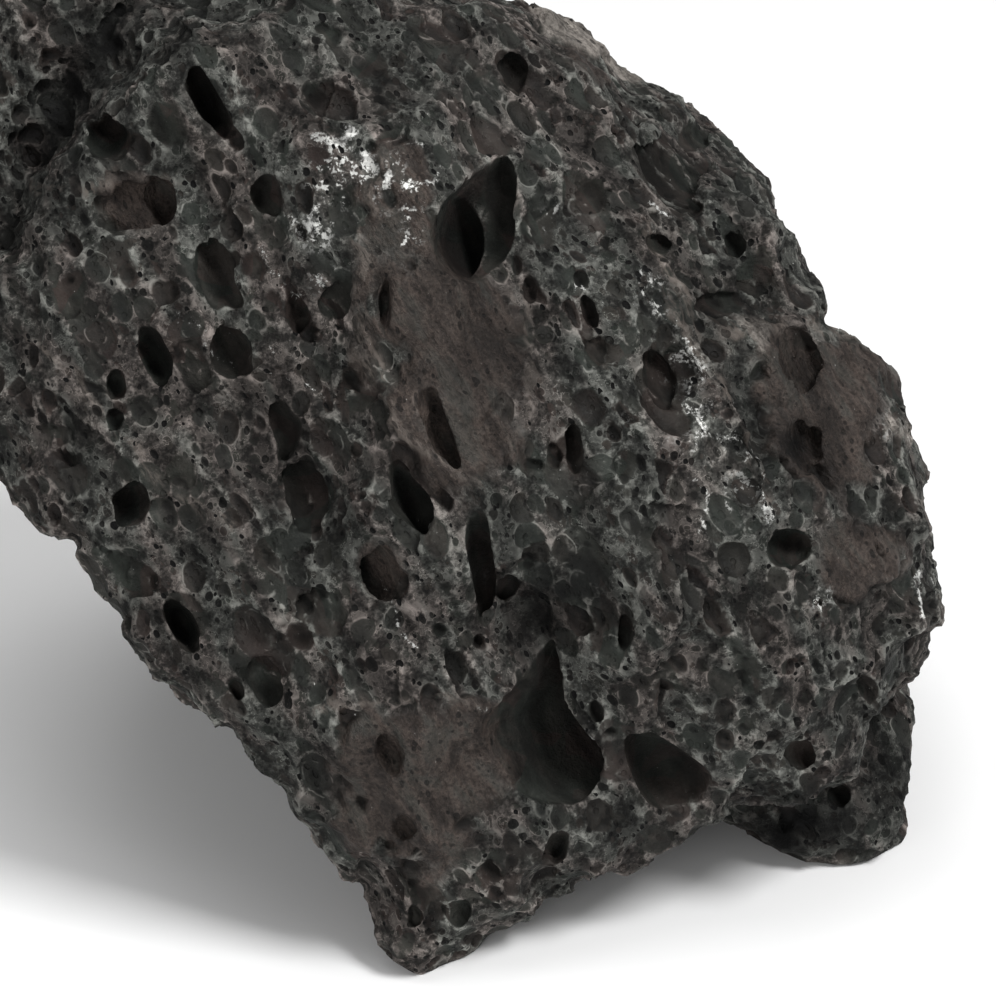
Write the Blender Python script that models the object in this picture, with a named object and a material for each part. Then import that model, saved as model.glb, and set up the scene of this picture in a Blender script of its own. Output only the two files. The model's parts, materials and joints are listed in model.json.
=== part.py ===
"""A lump of dark vesicular lava rock, modelled as one solid that rests on a small flat under it.

The rock is laid out on a plane that leans back from upright: U to the right, V up the plane and W
out of the plane, towards a viewer who looks down on the rock. Sizes in the tables are millimetres
on that plane, measured from the middle of the rock.
"""

import math

import bmesh
import bpy
import numpy as np
from mathutils import Matrix, Vector
from mathutils.bvhtree import BVHTree

MM = 0.001

# How the layout plane stands in the world.
LEAN = math.radians(30)
MIDDLE = Vector((11.5, -3.6, 63.5))
EYE_DISTANCE = 1000.0

# How sharp the broken edges are: a higher number gives flatter faces and tighter edges.
EDGE_SHARPNESS = 18
LOBE_SHARPNESS = 9

# How many slices round the middle the outline is fitted in.
OUTLINE_SECTORS = 150

# The rock's outline on the layout plane: angle from the U axis in degrees, distance from the middle.
OUTLINE = [
    (-177.5, 92.5), (-173.5, 88.6), (-171, 82.2), (-165.4, 79.4), (-157.5, 75.1), (-150.6, 75.8),
    (-145.8, 75.1), (-138.6, 72.6), (-133.6, 70.7), (-126.6, 73.3), (-120.7, 72.8), (-114.2, 78.5),
    (-108.3, 84.0), (-104.9, 85.0), (-102, 92.4), (-99.1, 98.2), (-95.5, 100.9), (-93.3, 98.4),
    (-88, 94.5), (-84, 91.3), (-80, 86.9), (-76, 86.0), (-72, 84.6), (-64, 85.3), (-56, 84.7),
    (-51.5, 85.7), (-44.6, 92.6), (-37.7, 98.1), (-30.8, 93.6), (-24, 98.5), (-20, 97.9),
    (-16, 98.9), (-12, 96.1), (-4, 92.8), (0, 93.2), (8, 89.0), (16, 88.4), (20, 84.5),
    (24, 79.4), (28, 80.9), (36, 81.6), (44, 84.2), (52, 85.6), (60, 87.3), (68, 88.6),
    (76, 93.8), (84, 96.3), (92.3, 100.5), (102.8, 108.7), (111.9, 118.1), (120, 128.1),
    (127.4, 138.4), (134.2, 146.4), (140.5, 147.8), (146.8, 142.0), (153.2, 133.3),
    (160.1, 123.4), (165.7, 113.5), (171.3, 106.2), (177.1, 99.1),
]

# Broken faces of the rock: the way each one looks (U, V, W) and its distance from the middle.
FACES = [
    ((-0.20, 0.00, 0.97), 68.0),   # wide front face
    ((0.25, 0.10, 0.96), 69.7),    # front face, right of the crest
    ((0.50, 0.55, 0.67), 79.5),    # upper right
    ((0.55, 0.00, 0.83), 83.3),    # right lump
    ((0.25, -0.45, 0.86), 75.2),   # lower right
    ((-0.10, -0.35, 0.93), 76.9),  # lower front, down to the tip
    ((0.05, 0.45, 0.89), 90.0),    # top front
    ((0.38, -0.90, -0.20), 75.0),  # overhang right of the tip
    ((-0.72, -0.64, -0.27), 60.0), # lower left flank
    ((-0.30, 0.72, -0.63), 92.0),  # top back
    ((-0.80, 0.10, -0.59), 100.0), # left back
    ((0.72, 0.30, -0.62), 84.0),   # right back
    ((0.10, 0.05, -0.99), 70.0),   # back
    ((0.62, -0.55, -0.56), 76.0),  # lower right back
]

# The lobe low on the right, behind the front mass.
LOBE_MIDDLE = Vector((73.0, -58.0, -8.0))
LOBE_OUTLINE = [
    (-160, 27.0), (-145, 21.9), (-110, 20.4), (-97, 20.4), (-69, 21.0), (-46.5, 20.9),
    (-21.5, 16.3), (0, 15.2), (24.5, 16.9), (41, 21.3), (90, 30.0), (120, 38.0), (150, 42.0), (180, 36.0),
]
LOBE_FACES = [
    ((0.10, -0.10, 0.99), 25.0),
    ((0.50, 0.20, 0.84), 24.0),
    ((0.00, 0.00, -1.00), 44.0),
]

# Broad lumps and dents on the front: place (U, V), half-widths, turn in degrees, height.
SWELLS = [
    (16, -24, 13, 9, 0, -7.0),     # bay under the middle
    (14, -34, 7, 10, 10, -4.0),    # lower end of the bay
    (54, 40, 26, 6, -32, -3.5),    # valley between the upper right and the right lump
    (67, 6, 12, 20, 0, 2.5),       # right lump
    (-12, 34, 10, 30, 12, 2.0),    # smooth tract below the big hollow
    (-66, 55, 16, 9, 0, -3.0),     # dent on the upper left
    (-48, -12, 22, 12, -35, 1.8),
    (-20, -62, 16, 22, -10, 1.5),  # smooth plate
    (42, 62, 14, 14, 0, -2.2),     # basin
    (45, -30, 14, 9, 20, 2.0),
    (-74, 8, 12, 18, -20, 1.6),
    (30, 20, 9, 15, 20, -1.4),
]

# Ledges on the front: a line of points (U, V), the drop on its left side, the width of the step and
# how far from the line the lower side rises back.
LEDGES = [
    ([(-110, -10), (-94, 45), (-86, 62), (-78, 70), (-71, 79), (-64, 82), (-61, 88), (-56, 93),
      (-46, 92), (-38, 96), (-30, 130)], 12.0, 3.0, 90.0),
    ([(64, -32), (61, -16), (58, -8), (52, 10), (44, 26), (36, 34)], 3.6, 2.5, 16.0),
]
LEDGE_TAPER = 12.0

# The front's swells and ledges start at this W and are at full height this much further out.
RELIEF_STARTS = -5.0
RELIEF_GROWS = 30.0

# Hollows with an outline of their own: points (U, V), depth, how far the floor shifts (U, V).
HOLLOWS = [
    ([(7.2, 65.4), (9.6, 57.8), (8.2, 46.2), (0.8, 39.4), (-5.4, 42.2), (-8.2, 48.0), (-7.2, 52.0),
      (-2.6, 57.8), (2.6, 62.6)], 15.0, (1.5, 0.5)),
    ([(15.0, -31.8), (12.8, -33.6), (10.4, -38.4), (6.8, -40.8), (3.2, -46.2), (0.2, -48.6),
      (4.4, -58.2), (12.0, -64.0), (20.0, -65.4), (24.2, -61.8), (27.0, -56.0), (23.0, -51.0),
      (18.8, -44.4), (18.0, -38.4)], 12.0, (2.5, -1.0)),
    ([(30.8, -52.0), (36.0, -49.8), (43.0, -52.4), (45.8, -58.0), (44.0, -64.0), (37.0, -66.0),
      (32.0, -62.0)], 9.0, (1.0, 1.0)),
]

# How the sides of a hollow run in: level as a share of its depth, width as a share of its outline.
HOLLOW_SIDES = [(0.0, 1.0), (-0.45, 0.94), (-0.8, 0.72), (-0.97, 0.36)]
HOLLOW_CLEARANCE = 8.0

# Gas holes on the front: place (U, V), width, length, how far the top leans left in degrees, depth.
HOLES = [
    (-73.0, 69.0, 8.0, 8.0, 0, 7.0),
    (-52.2, 75.2, 5.0, 15.5, 29, 7.0),
    (-66.4, 55.0, 15.0, 10.0, 0, 3.4),
    (-41.0, 56.6, 6.0, 8.0, 20, 4.0),
    (-50.6, 41.0, 7.0, 14.0, 25, 5.0),
    (-63.0, 25.0, 5.6, 12.0, 20, 5.0),
    (-47.6, 26.0, 7.0, 11.0, 20, 4.0),
    (-34.4, 33.0, 4.0, 8.0, 15, 4.0),
    (-71.0, 19.0, 3.6, 6.0, 10, 4.0),
    (-71.4, 12.0, 3.6, 4.0, 0, 3.0),
    (-68.0, -5.0, 8.0, 8.0, 0, 5.5),
    (-57.6, -29.0, 4.8, 10.0, 25, 6.5),
    (-37.4, 9.0, 5.0, 12.0, 10, 4.0),
    (-41.0, -41.0, 5.6, 7.6, 20, 4.0),
    (-46.8, -42.6, 2.8, 4.8, 10, 2.6),
    (23.8, 33.8, 2.8, 7.0, 15, 2.8),
    (20.8, 6.2, 3.6, 9.0, 5, 4.0),
    (9.0, 82.0, 5.0, 8.0, 10, 4.0),
    (-2.4, -86.4, 4.4, 5.6, 0, 2.8),
    (-11.4, -88.4, 4.0, 5.2, 0, 2.8),
    (-12.4, -3.6, 7.0, 16.6, 29, 7.5),
    (2.6, -18.6, 5.4, 19.6, 8, 6.5),
    (-6.6, 13.4, 6.2, 10.4, 25, 5.0),
    (-17.0, 35.2, 2.0, 12.0, 0, 3.0),
    (8.0, -22.0, 4.0, 5.4, 0, 3.2),
    (-16.2, -55.0, 4.8, 8.0, 10, 3.2),
    (-13.2, -69.6, 4.4, 4.8, 0, 2.6),
    (17.8, -74.6, 4.8, 7.2, -20, 5.0),
    (30.4, -30.6, 3.4, 6.8, 5, 4.5),
    (64.0, -13.6, 8.0, 8.0, 0, 7.0),
    (67.0, 7.0, 7.0, 10.0, 5, 4.8),
    (67.6, 23.4, 5.0, 12.0, 20, 3.6),
    (38.2, 21.2, 5.6, 10.0, 20, 4.5),
    (25.2, -46.2, 2.8, 4.4, 10, 2.6),
    (-17.8, -19.0, 8.4, 12.0, 25, 3.0),
    (66.6, -55.4, 5.6, 5.6, 0, 4.5),
    (74.0, -63.0, 5.0, 5.0, 0, 3.6),
    (80.0, -42.5, 3.6, 5.0, 0, 2.6),
    (45.4, 69.0, 6.4, 6.4, 0, 3.4),
    (37.2, 62.4, 4.4, 5.0, 0, 3.0),
    (45.4, 55.0, 3.6, 4.0, 0, 2.6),
    (38.0, 47.4, 5.0, 4.0, 0, 3.0),
    (53.2, 47.0, 4.0, 5.0, 10, 3.0),
    (52.6, 35.6, 2.6, 9.6, -70, 2.4),
]

# Gas holes on the sides and the back, spread by a seeded draw.
BACK_HOLE_COUNT = 36
BACK_HOLE_WIDTH = (5.0, 10.0)
BACK_HOLE_STRETCH = (1.0, 1.9)
BACK_HOLE_SPACING = 15.0
BACK_HOLE_SEED = 11
BACK_HOLE_DEPTH = 0.6
BACK_HOLE_LEAN = (10.0, 50.0)
BACK_HOLE_FACING = -0.05
BACK_HOLE_LOWEST = 12 * MM
OUTSIDE = 400.0

# How far a hole's middle lies under the surface, as a share of its half depth, and the opening in
# square millimetres from which it is cut with more sides.
HOLE_SUNK = 0.3
WIDE_HOLE_AREA = 60.0

# Roughness of the broken surface: wavelength and height of each layer.
ROUGHNESS = [(46.0, 1.5), (21.0, 0.8), (11.0, 0.4)]
ROUGHNESS_SEED = 5
WAVE_COUNT = 28
WAVE_SPREAD = (0.7, 1.4)

# How finely each solid is divided, and the size of the block that cuts the flat underneath.
SHELL_TRIANGLES = 3360
LOBE_TRIANGLES = 420
GROUND_BLOCK = (400.0, 400.0, 60.0)

STONE_COLOUR = (0.033, 0.031, 0.029, 1.0)


def clear_scene():
    for item in list(bpy.data.objects):
        bpy.data.objects.remove(item, do_unlink=True)


def stone_material():
    material = bpy.data.materials.new("dark_lava")
    material.use_nodes = True
    shader = material.node_tree.nodes["Principled BSDF"]
    shader.inputs["Base Color"].default_value = STONE_COLOUR
    shader.inputs["Roughness"].default_value = 0.85
    shader.inputs["Metallic"].default_value = 0.0
    return material


def layout_to_world():
    """The matrix from layout millimetres to world metres."""
    out_of_plane = Vector((0, -math.cos(LEAN), math.sin(LEAN)))
    up_plane = Vector((0, math.sin(LEAN), math.cos(LEAN)))
    turn = Matrix((Vector((1, 0, 0)), up_plane, out_of_plane)).transposed().to_4x4()
    return Matrix.Scale(MM, 4) @ Matrix.Translation(MIDDLE) @ turn


def smooth_step(value):
    value = np.clip(value, 0.0, 1.0)
    return value * value * (3 - 2 * value)


def on_plane(points):
    """Where the viewer sees each point on the layout plane."""
    return points[:, :2] * (EYE_DISTANCE / (EYE_DISTANCE - points[:, 2]))[:, None]


def to_viewer(points):
    """Unit vectors from each point to the viewer's eye."""
    away = np.array([0.0, 0.0, EYE_DISTANCE]) - points
    return away / np.linalg.norm(away, axis=1)[:, None]


def outline_distance(outline, angles):
    degrees, distances = np.array(outline, float).T
    return np.interp(np.degrees(angles), degrees, distances, period=360)


def reach(directions, outline, faces, sharpness):
    """How far the block reaches each way: a soft crossing of its faces and its outline."""
    flat = np.hypot(directions[:, 0], directions[:, 1])
    angles = np.arctan2(directions[:, 1], directions[:, 0])
    total = (flat / outline_distance(outline, angles)) ** sharpness
    for normal, distance in faces:
        unit = np.array(normal) / np.linalg.norm(normal)
        total += (np.maximum(directions @ unit, 0) / distance) ** sharpness
    return total ** (-1 / sharpness)


def fit_outline(points, outline):
    """Draws the points in or out across the plane, so that the block shows the outline it was given."""
    seen = on_plane(points)
    angles = np.arctan2(seen[:, 1], seen[:, 0])
    distances = np.hypot(*seen.T)
    sector = ((angles + np.pi) / (2 * np.pi) * OUTLINE_SECTORS).astype(int) % OUTLINE_SECTORS
    shown = np.zeros(OUTLINE_SECTORS)
    np.maximum.at(shown, sector, distances)
    centres = -np.pi + (np.arange(OUTLINE_SECTORS) + 0.5) * 2 * np.pi / OUTLINE_SECTORS
    widest = np.interp(angles, centres, shown, period=2 * np.pi)
    ratio = outline_distance(outline, angles) / widest
    nearness = np.clip(distances / widest, 0, 1) ** 3
    points[:, :2] *= (1 + (ratio - 1) * nearness)[:, None]
    return points


def waves(points, wavelength, seed, count=WAVE_COUNT):
    """A smooth random field of about unit height: a sum of seeded plane waves."""
    draw = np.random.default_rng(seed)
    ways = draw.normal(size=(count, 3))
    ways /= np.linalg.norm(ways, axis=1)[:, None]
    pitch = draw.uniform(*WAVE_SPREAD, count) * 2 * np.pi / wavelength
    phases = draw.uniform(0, 2 * np.pi, count)
    return np.cos(points @ (ways * pitch[:, None]).T + phases).sum(axis=1) * math.sqrt(2 / count)


def swell(seen, place_u, place_v, half_u, half_v, turn, height):
    angle = math.radians(turn)
    du = seen[:, 0] - place_u
    dv = seen[:, 1] - place_v
    across = (du * math.cos(angle) + dv * math.sin(angle)) / half_u
    along = (dv * math.cos(angle) - du * math.sin(angle)) / half_v
    return height * np.exp(-(across**2 + along**2))


def ledge(seen, line, drop, width, fade):
    """A step along a line of points: its left side lies lower, and the drop dies away past its ends."""
    line = np.array(line, float)
    lengths = np.hypot(*np.diff(line, axis=0).T)
    nearest = np.full(len(seen), np.inf)
    side = np.zeros(len(seen))
    along = np.zeros(len(seen))
    for index, run in enumerate(np.diff(line, axis=0)):
        share = np.clip((seen - line[index]) @ run / (run @ run), 0, 1)
        offset = seen - line[index] - share[:, None] * run
        distance = np.hypot(*offset.T)
        closer = distance < nearest
        cross = run[0] * offset[:, 1] - run[1] * offset[:, 0]
        side = np.where(closer, np.sign(cross), side)
        along = np.where(closer, lengths[:index].sum() + share * lengths[index], along)
        nearest = np.minimum(nearest, distance)
    taper = smooth_step(along / LEDGE_TAPER) * smooth_step((lengths.sum() - along) / LEDGE_TAPER)
    return -drop * smooth_step(0.5 + side * nearest / width) * taper * np.exp(-((nearest / fade) ** 2))


def front_relief(points):
    seen = on_plane(points)
    height = np.zeros(len(points))
    for one in SWELLS:
        height += swell(seen, *one)
    for one in LEDGES:
        height += ledge(seen, *one)
    return height * smooth_step((points[:, 2] - RELIEF_STARTS) / RELIEF_GROWS)


def roughness(points):
    rise = np.zeros(len(points))
    for layer, (wavelength, height) in enumerate(ROUGHNESS):
        rise += height * waves(points, wavelength, ROUGHNESS_SEED + layer)
    return rise


def block_points(directions, outline, faces, sharpness, strength):
    distances = reach(directions, outline, faces, sharpness)
    distances += strength * roughness(directions * distances[:, None])
    return fit_outline(directions * distances[:, None], outline)


def globe(name, subdivisions):
    mesh = bpy.data.meshes.new(name)
    shape = bmesh.new()
    bmesh.ops.create_icosphere(shape, subdivisions=subdivisions, radius=1.0)
    shape.to_mesh(mesh)
    shape.free()
    return mesh


def read_points(mesh):
    points = np.empty(len(mesh.vertices) * 3)
    mesh.vertices.foreach_get("co", points)
    return points.reshape(-1, 3)


def write_points(mesh, points):
    mesh.vertices.foreach_set("co", points.ravel())
    mesh.update()


def place(mesh, hide=False):
    item = bpy.data.objects.new(mesh.name, mesh)
    bpy.context.scene.collection.objects.link(item)
    if hide:
        item.hide_render = True
        item.display_type = "WIRE"
    return item


def bake_modifiers(item):
    """Replaces the object's mesh by what its modifiers make of it."""
    graph = bpy.context.evaluated_depsgraph_get()
    mesh = bpy.data.meshes.new_from_object(item.evaluated_get(graph))
    item.modifiers.clear()
    item.data = mesh


def thin(item, triangles):
    ratio = triangles / len(item.data.polygons)
    if ratio < 1:
        modifier = item.modifiers.new("thin", "DECIMATE")
        modifier.ratio = ratio
        bake_modifiers(item)


def main_mass():
    mesh = globe("lava_rock", 6)
    points = block_points(read_points(mesh), OUTLINE, FACES, EDGE_SHARPNESS, 1.0)
    points += to_viewer(points) * front_relief(points)[:, None]
    write_points(mesh, points)
    item = place(mesh)
    thin(item, SHELL_TRIANGLES)
    return item


def lobe():
    mesh = globe("lobe", 5)
    points = block_points(read_points(mesh), LOBE_OUTLINE, LOBE_FACES, LOBE_SHARPNESS, 0.6)
    write_points(mesh, points + np.array(LOBE_MIDDLE))
    item = place(mesh, hide=True)
    thin(item, LOBE_TRIANGLES)
    return item


def surface_of(item):
    shape = bmesh.new()
    shape.from_mesh(item.data)
    tree = BVHTree.FromBMesh(shape)
    shape.free()
    return tree


def sight_hit(tree, place_u, place_v):
    """Where the line of sight through a place on the plane meets the rock."""
    eye = Vector((0, 0, EYE_DISTANCE))
    way = (Vector((place_u, place_v, 0)) - eye).normalized()
    return tree.ray_cast(eye, way)[0], way


def egg(name, sides):
    """A closed ball whose poles lie on its own Z axis."""
    mesh = bpy.data.meshes.new(name)
    shape = bmesh.new()
    bmesh.ops.create_uvsphere(shape, u_segments=sides, v_segments=sides // 2, radius=1.0)
    shape.to_mesh(mesh)
    shape.free()
    return mesh


def pit_cutter(name, spot, inward, width, length, lean, depth):
    """An egg-shaped cutter whose middle is sunk a little under the surface."""
    opening = math.sqrt(1 - HOLE_SUNK * HOLE_SUNK)
    half_depth = depth / (1 + HOLE_SUNK)
    mesh = egg(name, 10 if width * length > WIDE_HOLE_AREA else 8)
    side = Vector((0, 1, 0)).cross(-inward).normalized()
    up = (-inward).cross(side)
    turn = Matrix((side, up, -inward)).transposed().to_4x4()
    roll = Matrix.Rotation(math.radians(lean), 4, "Z")
    size = Matrix.Diagonal((width / 2 / opening, length / 2 / opening, half_depth, 1))
    mesh.transform(Matrix.Translation(spot + inward * half_depth * HOLE_SUNK) @ turn @ roll @ size)
    return place(mesh, hide=True)


def hollow_cutter(name, tree, points, depth, shift):
    """A cutter with the hollow's outline, which narrows to a rounded floor."""
    middle = np.mean(points, axis=0)
    spot, _ = sight_hit(tree, *middle)
    near = (EYE_DISTANCE - spot.z) / EYE_DISTANCE
    shape = bmesh.new()

    def ring(height, share, scale):
        spots = (middle + (np.array(points) - middle) * scale + np.array(shift) * share) * near
        return [shape.verts.new((u, v, spot.z + height)) for u, v in spots]

    rings = [ring(HOLLOW_CLEARANCE, 0, 1.0)]
    rings += [ring(level * depth, -level, scale) for level, scale in HOLLOW_SIDES]
    shape.faces.new(rings[0])
    for upper, lower in zip(rings, rings[1:]):
        for index in range(len(points)):
            after = (index + 1) % len(points)
            shape.faces.new((upper[index], upper[after], lower[after], lower[index]))
    floor = shape.verts.new((*(middle + shift) * near, spot.z - depth))
    for index in range(len(points)):
        shape.faces.new((rings[-1][index], rings[-1][(index + 1) % len(points)], floor))
    bmesh.ops.triangulate(shape, faces=shape.faces[:])
    bmesh.ops.recalc_face_normals(shape, faces=shape.faces[:])
    mesh = bpy.data.meshes.new(name)
    shape.to_mesh(mesh)
    shape.free()
    return place(mesh, hide=True)


def front_cutters(tree):
    cutters = []
    for number, (points, depth, shift) in enumerate(HOLLOWS):
        cutters.append(hollow_cutter(f"hollow_{number}", tree, points, depth, shift))
    for number, (place_u, place_v, width, length, lean, depth) in enumerate(HOLES):
        spot, inward = sight_hit(tree, place_u, place_v)
        cutters.append(pit_cutter(f"hole_{number}", spot, inward, width, length, lean, depth))
    return cutters


def back_cutters(tree):
    """Holes where the front view does not reach, kept apart from each other and off the base."""
    draw = np.random.default_rng(BACK_HOLE_SEED)
    to_world = layout_to_world()
    cutters = []
    spots = []
    while len(cutters) < BACK_HOLE_COUNT:
        way = Vector(draw.normal(size=3)).normalized()
        width = draw.uniform(*BACK_HOLE_WIDTH)
        length = width * draw.uniform(*BACK_HOLE_STRETCH)
        lean = draw.uniform(*BACK_HOLE_LEAN)
        spot, normal, _, _ = tree.ray_cast(way * OUTSIDE, -way)
        if spot is None or normal.z > BACK_HOLE_FACING or (to_world @ spot).z < BACK_HOLE_LOWEST:
            continue
        if any((spot - other).length < BACK_HOLE_SPACING for other in spots):
            continue
        spots.append(spot)
        name = f"back_hole_{len(cutters)}"
        depth = width * BACK_HOLE_DEPTH
        cutters.append(pit_cutter(name, spot, -normal, width, length, lean, depth))
    return cutters


def cut(item, other, operation):
    modifier = item.modifiers.new(other.name, "BOOLEAN")
    modifier.operation = operation
    modifier.solver = "EXACT"
    modifier.object = other


def ground_cutter():
    """A block under the ground plane, which cuts the flat that the rock rests on."""
    shape = bmesh.new()
    bmesh.ops.create_cube(shape, size=1.0)
    mesh = bpy.data.meshes.new("ground_block")
    shape.to_mesh(mesh)
    shape.free()
    size = Vector(GROUND_BLOCK) * MM
    mesh.transform(Matrix.Translation((0, 0, -size.z / 2)) @ Matrix.Diagonal((*size, 1)))
    return place(mesh, hide=True)


def lava_rock():
    rock = main_mass()
    cut(rock, lobe(), "UNION")
    bake_modifiers(rock)
    tree = surface_of(rock)
    for cutter in front_cutters(tree) + back_cutters(tree):
        cut(rock, cutter, "DIFFERENCE")
    bake_modifiers(rock)
    rock.data.transform(layout_to_world())
    cut(rock, ground_cutter(), "DIFFERENCE")
    bake_modifiers(rock)
    rock.name = "lava_rock"
    rock.data.name = "lava_rock"
    rock.data.materials.clear()
    rock.data.materials.append(stone_material())
    return rock


clear_scene()
lava_rock()
for helper in [item for item in bpy.data.objects if item.hide_render]:
    bpy.data.objects.remove(helper, do_unlink=True)
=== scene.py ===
import json
import math

import bmesh
import bpy
import numpy as np
from mathutils import Matrix, Vector
from mathutils.bvhtree import BVHTree

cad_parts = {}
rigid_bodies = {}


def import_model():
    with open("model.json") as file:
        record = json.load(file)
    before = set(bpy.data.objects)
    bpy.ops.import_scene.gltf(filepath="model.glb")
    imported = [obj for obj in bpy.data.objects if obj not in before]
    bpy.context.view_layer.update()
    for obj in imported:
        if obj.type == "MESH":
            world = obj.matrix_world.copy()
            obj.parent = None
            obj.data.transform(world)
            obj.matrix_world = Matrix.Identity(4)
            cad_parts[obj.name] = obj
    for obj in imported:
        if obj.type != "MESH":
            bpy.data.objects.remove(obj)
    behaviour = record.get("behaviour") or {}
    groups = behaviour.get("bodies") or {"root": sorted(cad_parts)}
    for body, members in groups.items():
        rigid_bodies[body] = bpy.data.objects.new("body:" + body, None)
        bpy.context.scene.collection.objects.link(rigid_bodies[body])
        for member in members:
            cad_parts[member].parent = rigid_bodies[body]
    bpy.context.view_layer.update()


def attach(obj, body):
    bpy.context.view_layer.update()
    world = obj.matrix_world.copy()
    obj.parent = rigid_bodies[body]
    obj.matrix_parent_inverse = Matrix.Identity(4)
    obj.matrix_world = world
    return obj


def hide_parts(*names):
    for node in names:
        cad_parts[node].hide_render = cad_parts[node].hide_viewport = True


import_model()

mm = 0.001


def report(text):
    print(text, flush=True)


# the rock is laid out in millimetres on a plane that leans back: U right, V up the plane, W out of it
layout = {
    "lean": math.radians(30),
    "middle": Vector((11.5, -3.6, 63.5)),
    "eyeDistance": 1000.0,
}

rock = {
    "sharpness": 18,
    "sectors": 150,
    # angle round the middle in degrees, distance from it
    "outline": [
        (-177.5, 92.5), (-173.5, 88.6), (-171, 82.2), (-165.4, 79.4), (-157.5, 75.1), (-150.6, 75.8),
        (-145.8, 75.1), (-138.6, 72.6), (-133.6, 70.7), (-126.6, 73.3), (-120.7, 72.8), (-114.2, 78.5),
        (-108.3, 84), (-104.9, 85), (-102, 92.4), (-99.1, 98.2), (-95.5, 100.9), (-93.3, 98.4), (-88, 94.5),
        (-84, 91.3), (-80, 86.9), (-76, 86), (-72, 84.6), (-64, 85.3), (-56, 84.7), (-51.5, 85.7),
        (-44.6, 92.6), (-37.7, 98.1), (-30.8, 93.6), (-24, 98.5), (-20, 97.9), (-16, 98.9), (-12, 96.1),
        (-4, 92.8), (0, 93.2), (8, 89), (16, 88.4), (20, 84.5), (24, 79.4), (28, 80.9), (36, 81.6),
        (44, 84.2), (52, 85.6), (60, 87.3), (68, 88.6), (76, 93.8), (84, 96.3), (92.3, 100.5),
        (102.8, 108.7), (111.9, 118.1), (120, 128.1), (127.4, 138.4), (134.2, 146.4), (140.5, 147.8),
        (146.8, 142), (153.2, 133.3), (160.1, 123.4), (165.7, 113.5), (171.3, 106.2), (177.1, 99.1),
    ],
    # the way each broken face looks (U, V, W), distance from the middle
    "faces": [
        ((-0.2, 0, 0.97), 68), ((0.25, 0.1, 0.96), 69.7), ((0.5, 0.55, 0.67), 79.5),
        ((0.55, 0, 0.83), 83.3), ((0.25, -0.45, 0.86), 75.2), ((-0.1, -0.35, 0.93), 76.9),
        ((0.05, 0.45, 0.89), 90), ((0.38, -0.9, -0.2), 75), ((-0.72, -0.64, -0.27), 60),
        ((-0.3, 0.72, -0.63), 92), ((-0.8, 0.1, -0.59), 100), ((0.72, 0.3, -0.62), 84),
        ((0.1, 0.05, -0.99), 70), ((0.62, -0.55, -0.56), 76),
    ],
    # wavelength and height of the rough break
    "roughness": [(46, 1.5), (21, 0.8), (11, 0.4)],
    "roughnessSeed": 5,
    "roughShare": 1,
    "waveCount": 28,
    "waveSpread": (0.7, 1.4),
    # place (U, V), half-widths, turn in degrees, height
    "swells": [
        (16, -24, 13, 9, 0, -7), (14, -34, 7, 10, 10, -4), (54, 40, 26, 6, -32, -3.5),
        (67, 6, 12, 20, 0, 2.5), (-12, 34, 10, 30, 12, 2), (-66, 55, 16, 9, 0, -3),
        (-48, -12, 22, 12, -35, 1.8), (-20, -62, 16, 22, -10, 1.5), (42, 62, 14, 14, 0, -2.2),
        (45, -30, 14, 9, 20, 2), (-74, 8, 12, 18, -20, 1.6), (30, 20, 9, 15, 20, -1.4),
        (2, -55, 8, 11, 0, -3), (-30, 30, 5, 10, 5, -2), (-32, -2, 5, 12, 15, -2.5),
        (17, 14, 5, 18, 10, -2), (68, -50, 14, 7, 35, -2.5),
    ],
    # line (U, V), drop on its left side, width of the step, reach of the lower side
    "ledges": [
        ([(-110, -10), (-94, 45), (-86, 62), (-78, 70), (-71, 79), (-64, 82), (-61, 88), (-56, 93),
          (-46, 92), (-38, 96), (-30, 130)], 12, 1.6, 90),
        ([(64, -32), (61, -16), (58, -8), (52, 10), (44, 26), (36, 34)], 3, 7, 16),
    ],
    "ledgeTaper": 12,
    # line (U, V), half-width, depth
    "clefts": [
        ([(-52, 106), (-62, 100), (-68, 94), (-75, 84), (-82, 74), (-89, 62), (-94, 50)], 6, 7),
    ],
    # line (U, V), half-width, height
    "lips": [
        ([(-17, 64), (-20, 56), (-22, 44), (-22, 32), (-20, 20), (-15, 11), (-8, 5), (0, 0), (3, -2)],
         1.5, 1.3),
        ([(10, 38), (13, 30), (13, 18), (9, 8), (3, -2)], 1.4, 0.8),
        ([(36, 50), (40, 40), (43, 32), (46, 24), (52, 16), (57, 6), (60, -4)], 2, 1.5),
        ([(-30, -46), (-18, -44), (-6, -43), (2, -46)], 1.4, 1),
        ([(52, 30), (60, 31), (68, 32), (76, 31), (84, 26)], 1.6, 1.2),
        ([(-88, 60), (-78, 57), (-70, 62), (-60, 60)], 1.5, 1),
        ([(-92, 30), (-80, 22), (-70, 8), (-58, -4), (-48, -10)], 1.8, 1),
    ],
    # how far these lines wander off course, and over what length
    "wander": (0.8, 8),
    "wanderSeed": 90,
    "reliefStarts": -5,
    "reliefGrows": 30,
}

lobe = {
    "middle": Vector((73, -58, -8)),
    "sharpness": 9,
    "outline": [
        (-160, 27), (-145, 21.9), (-110, 20.4), (-97, 20.4), (-69, 21), (-46.5, 20.9), (-21.5, 16.3),
        (0, 15.2), (24.5, 16.9), (41, 21.3), (90, 30), (120, 38), (150, 42), (180, 36),
    ],
    "faces": [
        ((0.1, -0.1, 0.99), 21.5), ((0.5, 0.2, 0.84), 21.5), ((0, 0, -1), 44),
    ],
    "roughShare": 0.6,
}


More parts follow.
